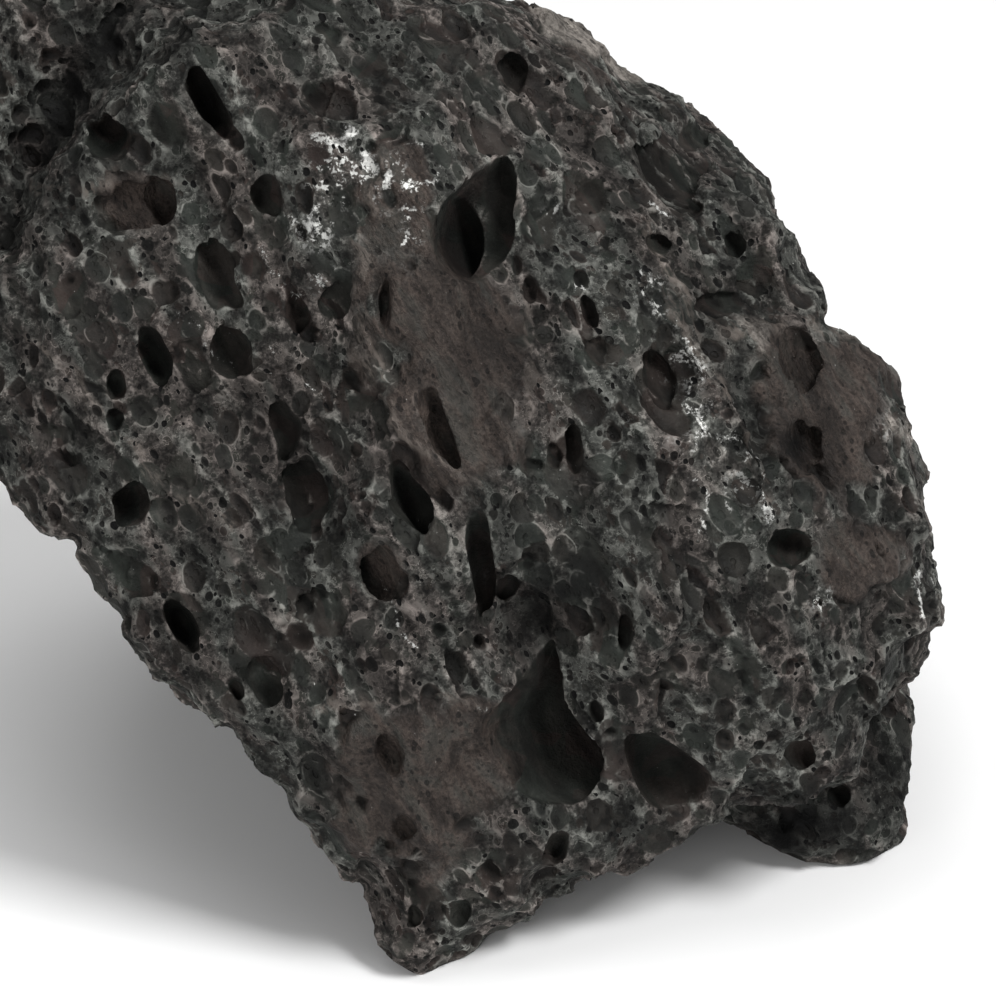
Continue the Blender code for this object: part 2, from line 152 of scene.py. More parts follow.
def layoutToWorld():
    outOfPlane = Vector((0, -math.cos(layout["lean"]), math.sin(layout["lean"])))
    upPlane = Vector((0, math.sin(layout["lean"]), math.cos(layout["lean"])))
    turn = Matrix((Vector((1, 0, 0)), upPlane, outOfPlane)).transposed().to_4x4()
    return Matrix.Scale(mm, 4) @ Matrix.Translation(layout["middle"]) @ turn


def smoothStep(value):
    value = np.clip(value, 0.0, 1.0)
    return value * value * (3 - 2 * value)


def onPlane(points):
    eye = layout["eyeDistance"]
    return points[:, :2] * (eye / (eye - points[:, 2]))[:, None]


def toViewer(points):
    away = np.array([0.0, 0.0, layout["eyeDistance"]]) - points
    return away / np.linalg.norm(away, axis=1)[:, None]


def outlineDistance(outline, angles):
    degrees, distances = np.array(outline, float).T
    return np.interp(np.degrees(angles), degrees, distances, period=360)


def blockReach(directions, form):
    # how far the block reaches each way before it meets its outline or one of its faces
    flat = np.hypot(directions[:, 0], directions[:, 1])
    angles = np.arctan2(directions[:, 1], directions[:, 0])
    total = (flat / outlineDistance(form["outline"], angles)) ** form["sharpness"]
    for normal, distance in form["faces"]:
        unit = np.array(normal) / np.linalg.norm(normal)
        total += (np.maximum(directions @ unit, 0) / distance) ** form["sharpness"]
    return total ** (-1 / form["sharpness"])


def fitOutline(points, outline):
    seen = onPlane(points)
    angles = np.arctan2(seen[:, 1], seen[:, 0])
    distances = np.hypot(*seen.T)
    count = rock["sectors"]
    sector = ((angles + np.pi) / (2 * np.pi) * count).astype(int) % count
    shown = np.zeros(count)
    np.maximum.at(shown, sector, distances)
    centres = -np.pi + (np.arange(count) + 0.5) * 2 * np.pi / count
    widest = np.interp(angles, centres, shown, period=2 * np.pi)
    ratio = outlineDistance(outline, angles) / widest
    nearness = np.clip(distances / widest, 0, 1) ** 3
    points[:, :2] *= (1 + (ratio - 1) * nearness)[:, None]
    return points


def waves(points, wavelength, seed):
    draw = np.random.default_rng(seed)
    count = rock["waveCount"]
    ways = draw.normal(size=(count, 3))
    ways /= np.linalg.norm(ways, axis=1)[:, None]
    pitch = draw.uniform(*rock["waveSpread"], count) * 2 * np.pi / wavelength
    phases = draw.uniform(0, 2 * np.pi, count)
    return np.cos(points @ (ways * pitch[:, None]).T + phases).sum(axis=1) * math.sqrt(2 / count)


def brokenRise(points):
    rise = np.zeros(len(points))
    for layer, (wavelength, height) in enumerate(rock["roughness"]):
        rise += height * waves(points, wavelength, rock["roughnessSeed"] + layer)
    return rise


def blockPoints(directions, form):
    distances = blockReach(directions, form)
    distances += form["roughShare"] * brokenRise(directions * distances[:, None])
    return fitOutline(directions * distances[:, None], form["outline"])


def spot(seen, placeU, placeV, halfU, halfV, turn):
    # a soft round patch on the layout plane, 1 in the middle and 0 outside
    angle = math.radians(turn)
    du = seen[:, 0] - placeU
    dv = seen[:, 1] - placeV
    across = (du * math.cos(angle) + dv * math.sin(angle)) / halfU
    along = (dv * math.cos(angle) - du * math.sin(angle)) / halfV
    return np.exp(-(across**2 + along**2))


def nearLine(seen, line):
    # how far off the line each place is, on which side, how far along it, and the line's length
    line = np.array(line, float)
    runs = np.diff(line, axis=0)
    lengths = np.hypot(*runs.T)
    nearest = np.full(len(seen), np.inf)
    side = np.zeros(len(seen))
    along = np.zeros(len(seen))
    for index, (start, run) in enumerate(zip(line, runs)):
        share = np.clip((seen - start) @ run / (run @ run), 0, 1)
        offset = seen - start - share[:, None] * run
        distance = np.hypot(*offset.T)
        closer = distance < nearest
        cross = run[0] * offset[:, 1] - run[1] * offset[:, 0]
        side = np.where(closer, np.sign(cross), side)
        along = np.where(closer, lengths[:index].sum() + share * lengths[index], along)
        nearest = np.minimum(nearest, distance)
    return nearest, side, along, lengths.sum()


def ledgeDrop(seen, line, drop, width, fade):
    nearest, side, along, length = nearLine(seen, line)
    taper = smoothStep(along / rock["ledgeTaper"]) * smoothStep((length - along) / rock["ledgeTaper"])
    return -drop * smoothStep(0.5 + side * nearest / width) * taper * np.exp(-((nearest / fade) ** 2))


def lineMask(lines, seen):
    flat = np.column_stack([seen, np.zeros(len(seen))])
    reach, wavelength = rock["wander"]
    aside = [waves(flat, wavelength, rock["wanderSeed"] + axis) for axis in range(2)]
    seen = seen + reach * np.column_stack(aside)
    total = np.zeros(len(seen))
    for line, halfWidth, strength in lines:
        total = np.maximum(total, strength * np.exp(-((nearLine(seen, line)[0] / halfWidth) ** 2)))
    return total


def frontRelief(points):
    seen = onPlane(points)
    height = np.zeros(len(points))
    for *place, rise in rock["swells"]:
        height += rise * spot(seen, *place)
    for one in rock["ledges"]:
        height += ledgeDrop(seen, *one)
    height += lineMask(rock["lips"], seen) - lineMask(rock["clefts"], seen)
    return height * smoothStep((points[:, 2] - rock["reliefStarts"]) / rock["reliefGrows"])


# gas holes seen from the front: place (U, V), width, length, how far the top leans left, depth
holes = {
    "sunk": 0.3,
    "deeper": 1.35,
    "leastFacing": 0.4,
    "uneven": [(2.2, 0.09), (0.9, 0.05)],
    "fineFrom": 8,
    "front": [
        (-72.6, 69, 9.6, 7.8, 0, 7), (-52.2, 75.2, 5, 15.5, 29, 7), (-66.4, 55, 15, 10, 0, 2.2),
        (-61.6, 55.4, 5.4, 9, 10, 4.6), (-41, 56.6, 6, 8, 20, 4), (-50.6, 41, 7, 14, 25, 5),
        (-63, 25, 5.6, 12, 20, 5), (-47.6, 26, 7, 11, 20, 4), (-34.4, 33, 4, 8, 15, 4),
        (-71, 19, 3.6, 6, 10, 4), (-71.4, 12, 3.6, 4, 0, 3), (-68, -5, 8, 8, 0, 5.5),
        (-57.6, -29, 4.8, 10, 25, 6.5), (-37.4, 9, 5, 12, 10, 4), (-41, -41, 5.6, 7.6, 20, 4),
        (-46.8, -42.6, 2.8, 4.8, 10, 2.6), (23.8, 33.8, 2.8, 7, 15, 2.8), (20.8, 6.2, 3.6, 9, 5, 4),
        (9, 82, 5, 8, 10, 4), (-2.4, -86.4, 4.4, 5.6, 0, 2.8), (-11.4, -88.4, 4, 5.2, 0, 2.8),
        (-12.4, -3.6, 7, 16.6, 29, 7.5), (2.6, -18.6, 5.4, 19.6, 8, 6.5), (-6.4, 10.6, 4.8, 16.6, 22, 4.5),
        (-17, 35.2, 2, 12, 0, 3), (8, -22, 4, 5.4, 0, 3.2), (-16.2, -55, 4.8, 8, 10, 3.2),
        (-13.2, -69.6, 4.4, 4.8, 0, 2.6), (17.8, -74.6, 4.8, 7.2, -20, 5), (30.4, -30.6, 3.4, 6.8, 5, 4.5),
        (64, -13.6, 8, 8, 0, 7), (66.4, 6.4, 7.8, 11.6, 5, 5.2), (66.6, 23.8, 7.4, 13.4, 20, 4),
        (38.2, 21.2, 5.6, 10, 20, 4.5), (25.2, -46.2, 2.8, 4.4, 10, 2.6), (-17.8, -19, 8.4, 12, 25, 3),
        (66.6, -55.4, 5.6, 5.6, 0, 4.5), (74, -63, 5, 5, 0, 3.6), (80, -42.5, 3.6, 5, 0, 2.6),
        (45.4, 69, 6.4, 6.4, 0, 3.4), (37.2, 62.4, 4.4, 5, 0, 3), (45.4, 55, 3.6, 4, 0, 2.6),
        (38, 47.4, 5, 4, 0, 3), (53.2, 47, 4, 5, 10, 3), (52.6, 35.6, 2.6, 9.6, -70, 2.4),
    ],
    # wide shallow bowls
    "bowls": [
        (-60.4, 71.6, 7, 11, 20, 1.6), (-31.2, 78.6, 5.6, 6, 0, 1.2), (-31, 73.6, 5, 3.6, 0, 0.9),
        (-80.8, 39, 8.4, 14, 15, 1.6), (-68.6, 41.8, 4, 5.6, 0, 1.2), (-43.8, 42.8, 5.2, 5.6, 0, 1.2),
        (-41.8, 49.6, 4.4, 5, 0, 1), (-40, 35.6, 4, 5, 10, 1.2), (-86.8, 29.6, 5.4, 5, 0, 1),
        (-55.6, 23, 7, 14, 20, 1.2), (-32.8, -2.4, 8.6, 15, 20, 4), (-40.8, -14, 5.4, 6, 0, 1.6),
        (-68, -19, 14, 8, -30, 1.6), (-57.8, 1.6, 6.4, 7, 0, 1.3), (-20.4, 84.6, 8, 7, 0, 1.3),
        (-14.8, 69.2, 7.4, 8.4, 0, 1.3), (2.4, 80.4, 7, 6.4, 0, 1.2), (25, 57, 6, 8, 0, 1.8),
        (15, 51, 9, 10, -30, 1.3), (-27, 36, 8, 8, 0, 1.4), (42.6, 63.6, 16, 21, 10, 6),
        (38, 46.6, 6, 5, 0, 1.5), (50.2, 35.6, 11, 5, 0, 4), (57, 41, 8, 10, -20, 1.8),
        (25.4, 26, 5, 8, 10, 1.5), (31, 3, 7, 6, 0, 1.2), (37, -12, 8, 6, 15, 1.3),
        (40, -40, 9, 7, -20, 1.6), (56, -38, 8, 9, 10, 1.6), (-30, -26, 9, 12, 25, 1.6),
        (-24, 16, 8, 13, 15, 1.6), (-36, -32, 7, 8, 10, 1.4), (-9, -84, 9, 7, -20, 1.6),
        (4, -80, 8, 6, -30, 1.4), (-83, 8, 7, 9, 20, 1.5),
    ],
    # smaller ones that only show close up
    "small": [
        (-19.8, 66.8, 2.4, 3.2, 10, 1.8), (-23.2, 5.8, 2.6, 3.2, 0, 2), (12, 37.8, 3, 5, 10, 2.2),
        (9.4, 42.8, 1.8, 4.6, 5, 1.8), (22.2, 40.2, 2.8, 4, 10, 2.2), (16.8, 5.2, 2.6, 5.2, 5, 2.6),
        (13.4, 3.4, 3.8, 2.4, -20, 2), (-29, 91, 3, 3, 0, 2.2), (-27, 89, 3, 3.4, 0, 2.2),
        (11.4, -17.4, 3.6, 3, 0, 2.2), (-16, -73.2, 2.6, 2.6, 0, 1.8), (-25.6, -50.6, 3, 4.4, 10, 1.8),
        (28.8, -51, 2.8, 2.8, 0, 2), (-6, -29.8, 2.8, 2.8, 0, 2), (2.2, -32.6, 2.8, 2.8, 0, 2),
        (70.4, -24.6, 2.6, 2.6, 0, 2.2), (82.4, -44.6, 2.8, 2.8, 0, 2.2),
    ],
    "backCount": 36,
    "backWidth": (5, 10),
    "backStretch": (1, 1.9),
    "backSpacing": 15,
    "backDepth": 0.6,
    "backLean": (10, 50),
    "backSeed": 11,
    "backFacing": -0.05,
    "backLowest": 0.012,
    "outside": 400,
}

# hollows with an outline of their own: points (U, V), depth, how far the floor shifts (U, V)
hollows = {
    "shapes": [
        ([(7.2, 65.4), (9.6, 57.8), (8.2, 46.2), (0.8, 39.4), (-5.4, 42.2), (-8.2, 48), (-7.2, 52),
          (-2.6, 57.8), (2.6, 62.6)], 9, (2, 1)),
        ([(-3.6, 57.4), (-0.8, 56), (1.4, 52), (1.8, 47), (1, 43), (-0.6, 40.4), (-4.2, 41.8),
          (-7, 45.4), (-7.8, 48.8), (-6.4, 53.4)], 17, (2.6, 0)),
        ([(15, -31.8), (12.8, -33.6), (11.2, -38.4), (8.4, -42), (4, -46.6), (2.2, -50.6),
          (5.4, -59.2), (12, -64.6), (20, -65.4), (24.2, -61.8), (27, -56), (23, -51),
          (18.8, -44.4), (18, -38.4)], 13, (8.5, 1.5)),
        ([(31.6, -52.4), (36, -51), (40.4, -53), (45, -56), (48.4, -59.6), (47.2, -64),
          (43.6, -66.4), (38, -66.4), (34.4, -63), (32.4, -57.6)], 9, (-3, 3.5)),
    ],
    # the wall below the outline: share of the depth, and how wide it still is
    "sides": [(0, 1), (-0.2, 0.99), (-0.45, 0.94), (-0.65, 0.84), (-0.8, 0.72), (-0.9, 0.56), (-0.97, 0.36)],
    "clearance": 8,
    "pointsBetween": 6,
}

build = {
    "mainLevel": 7,
    "lobeLevel": 6,
    "voxel": 0.6,
    "ground": (400.0, 400.0, 60.0),
    "triangles": 192000,
    "blurSteps": 5,
    "outwardSteps": 3,
    "hiddenBelow": -12.0,
    "hiddenTriangles": 48000,
    "shortest": 0.02,
}


def meshFrom(shape, name):
    mesh = bpy.data.meshes.new(name)
    shape.to_mesh(mesh)
    shape.free()
    return mesh


def globeMesh(name, level):
    shape = bmesh.new()
    bmesh.ops.create_icosphere(shape, subdivisions=level, radius=1.0)
    return meshFrom(shape, name)


def readPoints(mesh):
    points = np.empty(len(mesh.vertices) * 3)
    mesh.vertices.foreach_get("co", points)
    return points.reshape(-1, 3)


def writePoints(mesh, points):
    mesh.vertices.foreach_set("co", points.ravel())
    mesh.update()


def placeMesh(mesh, group=None):
    item = bpy.data.objects.new(mesh.name, mesh)
    (group or bpy.context.scene.collection).objects.link(item)
    return item


def bakeModifiers(item):
    graph = bpy.context.evaluated_depsgraph_get()
    mesh = bpy.data.meshes.new_from_object(item.evaluated_get(graph))
    item.modifiers.clear()
    item.data = mesh


def mainMass():
    mesh = globeMesh("lavaBody", build["mainLevel"])
    points = blockPoints(readPoints(mesh), rock)
    points += toViewer(points) * frontRelief(points)[:, None]
    writePoints(mesh, points)
    return placeMesh(mesh)


def sideLobe():
    mesh = globeMesh("sideLobe", build["lobeLevel"])
    writePoints(mesh, blockPoints(readPoints(mesh), lobe) + np.array(lobe["middle"]))
    return placeMesh(mesh)


def surfaceOf(item):
    shape = bmesh.new()
    shape.from_mesh(item.data)
    tree = BVHTree.FromBMesh(shape)
    shape.free()
    return tree


def sightHit(tree, placeU, placeV):
    # where the line of sight meets the surface, its direction, and the way the surface faces there
    eye = Vector((0, 0, layout["eyeDistance"]))
    way = (Vector((placeU, placeV, 0)) - eye).normalized()
    place, normal, _, _ = tree.ray_cast(eye, way)
    return place, way, normal


def pitCutter(name, group, place, inward, normal, width, length, lean, depth):
    opening = math.sqrt(1 - holes["sunk"] ** 2)
    halfDepth = depth / (1 + holes["sunk"])
    mesh = globeMesh(name, 4 if max(width, length) > holes["fineFrom"] else 3)
    points = readPoints(mesh)
    seed = int(abs(place.x * 13 + place.y * 7 + place.z * 3))
    points *= (1 + sum(share * waves(points, width, seed) for width, share in holes["uneven"]))[:, None]
    writePoints(mesh, points)
    side = Vector((0, 1, 0)).cross(-inward).normalized()
    up = (-inward).cross(side)
    # leans the mouth until it lies along the surface
    facing = max(-inward.dot(normal), holes["leastFacing"])
    side += inward * side.dot(normal) / facing
    up += inward * up.dot(normal) / facing
    turn = Matrix((side, up, -inward)).transposed().to_4x4()
    roll = Matrix.Rotation(math.radians(lean), 4, "Z")
    size = Matrix.Diagonal((width / 2 / opening, length / 2 / opening, halfDepth, 1))
    mesh.transform(Matrix.Translation(place + inward * halfDepth * holes["sunk"]) @ turn @ roll @ size)
    return placeMesh(mesh, group)


def roundedOutline(points):
    # a smooth closed curve through the points
    points = np.array(points, float)
    steps = np.arange(hollows["pointsBetween"]) / hollows["pointsBetween"]
    curve = []
    for index in range(len(points)):
        before, start, end, after = (points[(index + k) % len(points)] for k in (-1, 0, 1, 2))
        for t in steps:
            slope = (end - before) * t + (2 * before - 5 * start + 4 * end - after) * t**2
            curve.append(start + 0.5 * (slope + (3 * start - before - 3 * end + after) * t**3))
    return np.array(curve)


def hollowCutter(name, group, tree, points, depth, shift):
    points = roundedOutline(points)
    middle = points.mean(axis=0)
    # the plane that fits the surface round the outline best
    edge = np.array([sightHit(tree, *spot)[0] for spot in points])
    plane = np.linalg.lstsq(np.column_stack([edge[:, :2], np.ones(len(edge))]), edge[:, 2], rcond=None)[0]
    level = plane @ (*edge[:, :2].mean(axis=0), 1)
    near = (layout["eyeDistance"] - level) / layout["eyeDistance"]
    shape = bmesh.new()

    def corner(spot, height):
        u, v = spot * near
        return shape.verts.new((u, v, plane @ (u, v, 1) + height))

    def ring(height, share, scale):
        spots = middle + (points - middle) * scale + np.array(shift) * share
        return [corner(spot, height) for spot in spots]

    rings = [ring(hollows["clearance"], 0, 1.0)]
    rings += [ring(share * depth, -share, scale) for share, scale in hollows["sides"]]
    shape.faces.new(rings[0])
    for upper, lower in zip(rings, rings[1:]):
        for index in range(len(points)):
            after = (index + 1) % len(points)
            shape.faces.new((upper[index], upper[after], lower[after], lower[index]))
    floor = corner(middle + shift, -depth)
    for index in range(len(points)):
        shape.faces.new((rings[-1][index], rings[-1][(index + 1) % len(points)], floor))
    bmesh.ops.triangulate(shape, faces=shape.faces[:])
    bmesh.ops.recalc_face_normals(shape, faces=shape.faces[:])
    return placeMesh(meshFrom(shape, name), group)


def frontCutters(tree, group):
    for number, (points, depth, shift) in enumerate(hollows["shapes"]):
        hollowCutter(f"hollow{number}", group, tree, points, depth, shift)
    deep = [(*one, depth * holes["deeper"]) for *one, depth in holes["front"]]
    for number, (placeU, placeV, *sizes) in enumerate(deep + holes["bowls"] + holes["small"]):
        pitCutter(f"hole{number}", group, *sightHit(tree, placeU, placeV), *sizes)


def backCutters(tree, group):
    draw = np.random.default_rng(holes["backSeed"])
    toWorld = layoutToWorld()
    places = []
    while len(places) < holes["backCount"]:
        way = Vector(draw.normal(size=3)).normalized()
        width = draw.uniform(*holes["backWidth"])
        length = width * draw.uniform(*holes["backStretch"])
        lean = draw.uniform(*holes["backLean"])
        place, normal, _, _ = tree.ray_cast(way * holes["outside"], -way)
        if place is None or normal.z > holes["backFacing"] or (toWorld @ place).z < holes["backLowest"]:
            continue
        if any((place - other).length < holes["backSpacing"] for other in places):
            continue
        places.append(place)
        depth = width * holes["backDepth"]
        pitCutter(f"backHole{len(places)}", group, place, -normal, normal, width, length, lean, depth)


def combine(item, operation, other):
    modifier = item.modifiers.new(operation, "BOOLEAN")
    modifier.operation = operation
    modifier.solver = "MANIFOLD"
    if isinstance(other, bpy.types.Collection):
        modifier.operand_type = "COLLECTION"
        modifier.collection = other
    else:
        modifier.object = other
    bakeModifiers(item)


def groundBlock():
    shape = bmesh.new()
    bmesh.ops.create_cube(shape, size=1.0)
    mesh = meshFrom(shape, "groundBlock")
    size = Vector(build["ground"]) * mm
    mesh.transform(Matrix.Translation((0, 0, -size.z / 2)) @ Matrix.Diagonal((*size, 1)))
    return placeMesh(mesh)


def carvedBody():
    # also returns the surface as it was before the holes were cut
    body = mainMass()
    other = sideLobe()
    combine(body, "UNION", other)
    tree = surfaceOf(body)
    group = bpy.data.collections.new("cutters")
    bpy.context.scene.collection.children.link(group)
    frontCutters(tree, group)
    backCutters(tree, group)
    combine(body, "DIFFERENCE", group)
    body.data.transform(layoutToWorld())
    ground = groundBlock()
    combine(body, "DIFFERENCE", ground)
    for helper in [*group.objects, other, ground]:
        bpy.data.objects.remove(helper, do_unlink=True)
    bpy.data.collections.remove(group)
    return body, tree


def evenMesh(item):
    # one closed skin of small even faces, whatever the cuts left
    modifier = item.modifiers.new("even", "REMESH")
    modifier.mode = "VOXEL"
    modifier.voxel_size = build["voxel"] * mm
    bakeModifiers(item)


# soft patches on the front: place (U, V), half-widths, turn in degrees, strength
zones = {
    "skin": [
        (-6, 24, 15, 25, 15, 1.2), (-15, 56, 8, 12, 0, 1), (5, 28, 9, 14, 0, 0.9), (7, 8, 8, 8, 0, 0.6),
        (-13, -62, 14, 18, 8, 1.2), (1, -54, 10, 10, -20, 1), (70, 21, 17, 9, -20, 1.1),
        (71, 8, 11, 12, 0, 1), (79, -16, 10, 8, 0, 1), (-67, 55, 8, 6, 0, 0.9), (27, 88, 9, 7, -35, 1.2),
        (-18, -18, 5, 7, 20, 0.7),
    ],
    "crust": [
        (-26, 62, 9, 7, 0, 1), (-30, 51, 7, 6, 0, 0.9), (-16, 58, 5, 8, 0, 0.8), (-12, 52, 3, 6, 10, 0.9),
        (-30, 40, 4, 4, 0, 0.8), (17, 52, 3, 5, 0, 0.7), (36, 38, 4, 6, 20, 0.8), (44, 24, 4, 6, 20, 0.9),
        (46, 9, 8, 6, 0, 0.9), (55, -3, 7, 8, 0, 0.7), (84, 10, 6, 9, 10, 0.5), (71, -24, 3, 3, 0, 1),
        (91, -24, 2.5, 6, 0, 0.9), (30, 14, 12, 8, 0, 0.35), (42, -20, 14, 10, 0, 0.3),
        (-60, 70, 10, 8, 0, 0.3),
    ],
    "fine": [
        (-90, 88, 26, 30, 0, 1.4), (28, 76, 14, 12, -35, 0.9), (55, 52, 22, 20, -35, 0.7),
        (84, -8, 12, 30, 0, 1), (70, -44, 24, 26, 0, 1.2), (44, -24, 18, 14, -20, 0.6),
        (46, 40, 14, 20, -30, 0.6), (0, -84, 26, 8, 20, 0.6),
    ],
    # paler buff stone, partly painted light on the shoulders that face the lamp
    "pale": [
        (24, 90, 15, 4.5, -38, 1.3), (55, 29, 7, 5, -20, 0.75), (85, 11, 5, 8, 10, 0.55),
    ],
    # painted shade: darker stone over the deep pits, the cavities, the gap behind the crest and the lobe
    # under the overhang
    "paintedShade": [
        (-79, 77, 8, 32, -30, 1), (-64, 98, 10, 12, 0, 0.8), (39, -57, 8, 7, 0, 0.5),
        (18, -24, 10, 9, 0, 0.95), (13, -32, 6, 8, 0, 0.3), (67, 7, 5, 6.5, 5, 1.1),
        (4, 24, 10, 18, 10, 0.35), (66.6, 23.4, 4, 7.5, 20, 0.6), (66, -69, 18, 7.5, 18, 1.2),
        (83, -60, 6, 13, 0, 0.7), (42, 62, 10, 12, 0, 0.35), (52, 37, 10, 5, 0, 0.5),
        (-34, -2, 12, 22, 20, 0.5),
    ],
    # painted light: paler stone on the tip, the top, the lobe's rims and the lit right lump, and paler stone
    # itself on a few other patches
    "paintedLight": [
        (-8, -87, 22, 11, -10, 0.75), (64, -59.5, 16, 4.5, 22, 0.45), (70, -78, 18, 4, 0, 0.5),
        (-15, 19, 6, 20, 27, 0.7), (-13, 58, 8, 8, 0, 0.4), (84, 12, 6, 10, 10, 0.6),
        (-26, 60, 12, 9, 0, 0.5), (-60, 44, 20, 8, -15, 0.25), (46, 8, 10, 12, 0, 0.3),
        (-20, 88, 30, 8, 0, 0.15),
    ],
    "rugged": [
        (-92, 92, 26, 26, 0, 1.4), (-60, 104, 20, 10, 0, 1.2), (56, 52, 24, 20, -35, 0.8),
        (28, 78, 14, 10, -35, 0.7), (70, -38, 20, 16, 0, 0.6), (84, 0, 10, 40, 0, 0.6),
        (20, -10, 16, 12, 0, 0.4),
    ],
    # lines of white mineral: (U, V), half-width, strength
    "threads": [
        ([(-13.6, 48), (-11.6, 53), (-9, 57), (-5, 61.6), (-2, 63)], 0.45, 0.9),
        ([(-12.8, 57.2), (-10.4, 58.8)], 1.2, 1), ([(-16.6, 58.4), (-16.8, 61)], 1.3, 1),
        ([(-20, 63), (-20.4, 64.4)], 1.4, 0.9), ([(-30, 68), (-26, 66), (-24, 70)], 1.9, 0.9),
        ([(-32, 54), (-31, 51)], 1.8, 0.85), ([(-30.6, 41), (-30.2, 38.6)], 1.4, 0.9),
        ([(-14, 66.4), (-10, 67), (-6, 64.6)], 0.6, 0.8), ([(15.6, 50.4), (17.4, 53), (18.6, 54.6)], 1, 1),
        ([(20.6, 36), (23, 39)], 0.4, 0.9), ([(33.4, 43.6), (34.4, 39), (36, 36), (38, 34)], 0.7, 1),
        ([(36.4, 56), (39.6, 52.6)], 0.5, 0.9), ([(40.6, 31), (43, 27), (45, 22), (46, 20)], 0.7, 0.9),
        ([(42, 24), (44, 18), (46, 12), (51, 8)], 1.2, 0.7),
        ([(53, 8), (57, 4), (59, -2), (60, -8)], 1.2, 0.75), ([(46, 0), (49, -8), (44, -12)], 1, 0.7),
        ([(70.4, -23), (72, -24), (71.6, -27)], 0.7, 1), ([(91, -20), (91.6, -28)], 1.2, 0.9),
        ([(-42, 27), (-38, 20), (-30, 16)], 0.8, 0.65), ([(-21, -18), (-15, -26), (-12, -34)], 0.35, 0.8),
        ([(-1, -45), (3, -46.4)], 0.5, 0.9), ([(-30, -48), (-10, -47.6)], 0.4, 0.7),
        ([(22, -48), (23.4, -54), (21, -60)], 0.9, 0.75), ([(-42, 47.6), (-40, 42), (-34, 36)], 1, 0.6),
        ([(-58, 32), (-50, 24)], 1, 0.6),
    ],
    # the sides, seen aslant from the front, are rougher
    "asideRugged": 0.5,
    "asideFrom": 0.6,
    "asideTo": -0.5,
    "asideGrows": 0.4,
    "furtherBack": 20,
    "grows": 25,
    # how ragged the edges of the patches are: wavelength, share
    "ragged": [(16, 0.22), (7, 0.14), (3.5, 0.08)],
    "raggedSeed": 70,
    # height above the ground: below this no hole wall is marked, and here the bubbles start and are full
    "footing": 1.5,
    "bubblesStart": 0.3,
    "bubblesGrow": 2.5,
}

# the bubbles in the stone: spacing in mm, share of the cells that hold one, least and most radius as
# a share of the spacing, least and most depth as a share of the radius
bubbles = {
    "scoop": {"size": 15.0, "share": 1.0, "least": 0.55, "most": 0.75, "shallow": 0.08, "deep": 0.32},
    "coarse": {"size": 10.0, "share": 0.45, "least": 0.30, "most": 0.55, "shallow": 0.2, "deep": 0.7},
    "middle": {"size": 4.9, "share": 0.74, "least": 0.26, "most": 0.58, "shallow": 0.25, "deep": 0.95},
    "small": {"size": 2.5, "share": 0.62, "least": 0.22, "most": 0.50, "shallow": 0.3, "deep": 0.9},
    "stretch": 1.45,
    "flow": 4.0,
    "stretchWay": (-0.5, 0.866, 0.0),
    "warp": [(15.0, 0.45)],
    "warpSeed": 40,
    # crumbly relief between them
    "crumble": {"width": 7.0, "height": 2.4, "detail": 4.0},
    # how much of each is lost on smooth skin, and gained on rugged stone
    "skinLoss": {"larger": 0.84, "scoop": 0.85, "lumps": 0.5},
    "ruggedGain": {"small": 1.2, "lumps": 2.2},
    "smallOnSkin": (-0.5, 0.8),
    "fineLoss": 0.85,
    # how far inside a hole they start to fade, and are gone
    "holeFade": (1.5, 6.0),
}


def setAttribute(mesh, name, values, kind="FLOAT"):
    attribute = mesh.attributes.new(name, kind, "POINT")
    key = "vector" if kind == "FLOAT_VECTOR" else "value"
    attribute.data.foreach_set(key, np.ascontiguousarray(values, dtype=np.float32).ravel())


def zoneMask(name, seen, forward):
    total = np.zeros(len(seen))
    for *place, strength in zones[name]:
        total = np.maximum(total, strength * spot(seen, *place))
    return total * smoothStep(forward / zones["grows"])


def grainPoints(points, stretch):
    # rest places, squeezed along the way the bubbles are drawn out and warped a little
    way = np.array(bubbles["stretchWay"])
    way /= np.linalg.norm(way)
    squeezed = points + np.outer(points @ way, way) * (1 / stretch - 1)
    warped = squeezed.copy()
    seed = bubbles["warpSeed"]
    for wavelength, height in bubbles["warp"]:
        for axis in range(3):
            warped[:, axis] += height * waves(squeezed, wavelength, seed)
            seed += 1
    return warped


def nearestUncut(points, tree):
    # the nearest place on the uncut surface, the way it faces there, and how far off it is: only the
    # wall of a hole is more than a little way off
    found = [tree.find_nearest(Vector(point)) for point in points]
    return [np.array([one[key] for one in found]) for key in (0, 1, 3)]


